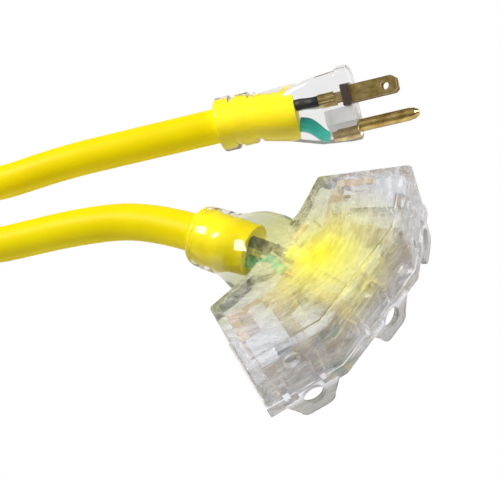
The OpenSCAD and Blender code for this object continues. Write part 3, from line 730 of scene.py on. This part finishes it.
EAR_Q = {-1: 1.5, 0: 4.4, 1: 4.0}
for k in (-1, 0, 1):
    at = facet(k)
    q = EAR_Q[k]
    wb, we = 9.45, 6.15
    hi_q = min(q + wb, 10.4) if k == 1 else q + wb
    out = [(hi_q, ZB + 2.5), (q - wb, ZB + 2.5), (q - wb, ZB)]
    out += [(q - we + 3 + 3 * math.cos(a), 3 + 3 * math.sin(a)) for a in [math.radians(180 + 15 * i) for i in range(7)]]
    out += [(q + we - 3 + 3 * math.cos(a), 3 + 3 * math.sin(a)) for a in [math.radians(270 + 15 * i) for i in range(7)]]
    out += [(hi_q, ZB)]
    n = len(out)
    verts = [at(-2, y, z - ZM) for y, z in out] + [at(-0.02, y, z - ZM) for y, z in out]
    faces = [tuple(range(n)), tuple(range(2 * n - 1, n - 1, -1))] + [(i, i + n, (i + 1) % n + n, (i + 1) % n) for i in range(n)]
    me = mesh_from("ear", verts, faces)
    fix_normals(me)
    ear = new_object("ear", me)
    mod = ear.modifiers.new("bevel", "BEVEL")
    mod.width = 0.0004
    mod.segments = 2
    mod.limit_method = "ANGLE"
    mod.angle_limit = math.radians(50)
    applied(ear)
    boolean(body, ear, "UNION")

for k in (-1, 0, 1):
    at = facet(k)
    q = EAR_Q[k]
    hz = ZB - 1.3 - ZM
    me = lathe("hole", [(0, 3.7), (6, 3.7)], 48, at(-4, q, hz), at(2, q, hz))
    fix_normals(me)
    boolean(body, new_object("hole", me), "DIFFERENCE")
    boolean(body, block("relief", at, (-11, q - 4.4, ZB - 1 - ZM), (-1.98, q + 4.4, ZB + 2.4 - ZM)), "DIFFERENCE")
    boolean(body, block("slot", at, (-2.6, -7.35, -9.2), (1, -5.35, -2.2)), "DIFFERENCE")
    boolean(body, block("slot", at, (-2.6, 5.35, -9.6), (1, 7.35, -1.8)), "DIFFERENCE")
    me = lathe("hole", [(0, 2.7), (3.6, 2.7)], 40, at(-2.6, 0, 6.2), at(1, 0, 6.2))
    fix_normals(me)
    boolean(body, new_object("hole", me), "DIFFERENCE")

body.data.name = "tap_moulding"
fix_normals(body.data)
shade(body.data, 30)
body.data.materials.clear()
body.data.materials.append(tap_pvc)
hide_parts("tap_body")
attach(body, "cord_set")

# ---------------------------------------------------------------- floor, light
floor = new_object("floor", mesh_from("floor", [(-3000, -3000, -0.05), (3000, -3000, -0.05), (3000, 3000, -0.05), (-3000, 3000, -0.05)], [(0, 1, 2, 3)]))
fm, nt, b = mat("floor", (0.6, 0.6, 0.61), 0.9)
b.inputs["Specular IOR Level"].default_value = 0.0
b.inputs["Emission Color"].default_value = (1, 1, 1, 1)
b.inputs["Emission Strength"].default_value = 0.22
white = nt.nodes.new("ShaderNodeEmission")
white.inputs["Color"].default_value = (1, 1, 1, 1)
lp_ = nt.nodes.new("ShaderNodeLightPath")
mx_ = nt.nodes.new("ShaderNodeMixShader")
seen = nt.nodes.new("ShaderNodeMath")
seen.operation = "ADD"
seen.use_clamp = True
nt.links.new(lp_.outputs["Is Camera Ray"], seen.inputs[0])
nt.links.new(lp_.outputs["Is Transmission Ray"], seen.inputs[1])
nt.links.new(seen.outputs["Value"], mx_.inputs[0])
nt.links.new(b.outputs["BSDF"], mx_.inputs[1])
nt.links.new(white.outputs["Emission"], mx_.inputs[2])
nt.links.new(mx_.outputs["Shader"], nt.nodes["Material Output"].inputs["Surface"])
floor.data.materials.append(fm)

world = bpy.data.worlds.new("studio")
scene.world = world
world.use_nodes = True
wt = world.node_tree
bg = wt.nodes["Background"]
tcw = wt.nodes.new("ShaderNodeTexCoord")
sep = wt.nodes.new("ShaderNodeSeparateXYZ")
wt.links.new(tcw.outputs["Generated"], sep.inputs[0])
wr = wt.nodes.new("ShaderNodeValToRGB")
els = wr.color_ramp.elements
els[0].position, els[0].color = 0.0, (0.55, 0.55, 0.56, 1)
els[1].position, els[1].color = 1.0, (0.95, 0.95, 0.95, 1)
e3 = els.new(0.35)
e3.color = (0.06, 0.06, 0.065, 1)
wt.links.new(sep.outputs["Z"], wr.inputs["Fac"])
wt.links.new(wr.outputs["Color"], bg.inputs["Color"])
bg.inputs["Strength"].default_value = 0.55
# the backdrop itself is as pale as the floor
pale = wt.nodes.new("ShaderNodeBackground")
pale.inputs["Color"].default_value = (1, 1, 1, 1)
wmix = wt.nodes.new("ShaderNodeMixShader")
wt.links.new(wt.nodes.new("ShaderNodeLightPath").outputs["Is Camera Ray"], wmix.inputs[0])
wt.links.new(bg.outputs["Background"], wmix.inputs[1])
wt.links.new(pale.outputs["Background"], wmix.inputs[2])
wt.links.new(wmix.outputs["Shader"], wt.nodes["World Output"].inputs["Surface"])


def area(name, loc_, target, size, power):
    ld = bpy.data.lights.new(name, "AREA")
    ld.shape = "RECTANGLE"
    ld.size, ld.size_y = size
    ld.energy = power
    lo = bpy.data.objects.new(name, ld)
    scene.collection.objects.link(lo)
    lo.location = loc_
    lo.rotation_euler = (Vector(target) - Vector(loc_)).to_track_quat("-Z", "Y").to_euler()
    return lo


area("key", (-0.25, 0.75, 0.95), (0, 0.02, 0), (0.42, 0.3), 11)
area("fill", (0.75, -0.85, 0.8), (0, 0.02, 0), (0.4, 0.4), 9)

scene.view_settings.view_transform = "Standard"
scene.view_settings.look = "None"
scene.view_settings.exposure = 0.0
scene.view_settings.gamma = 1.0
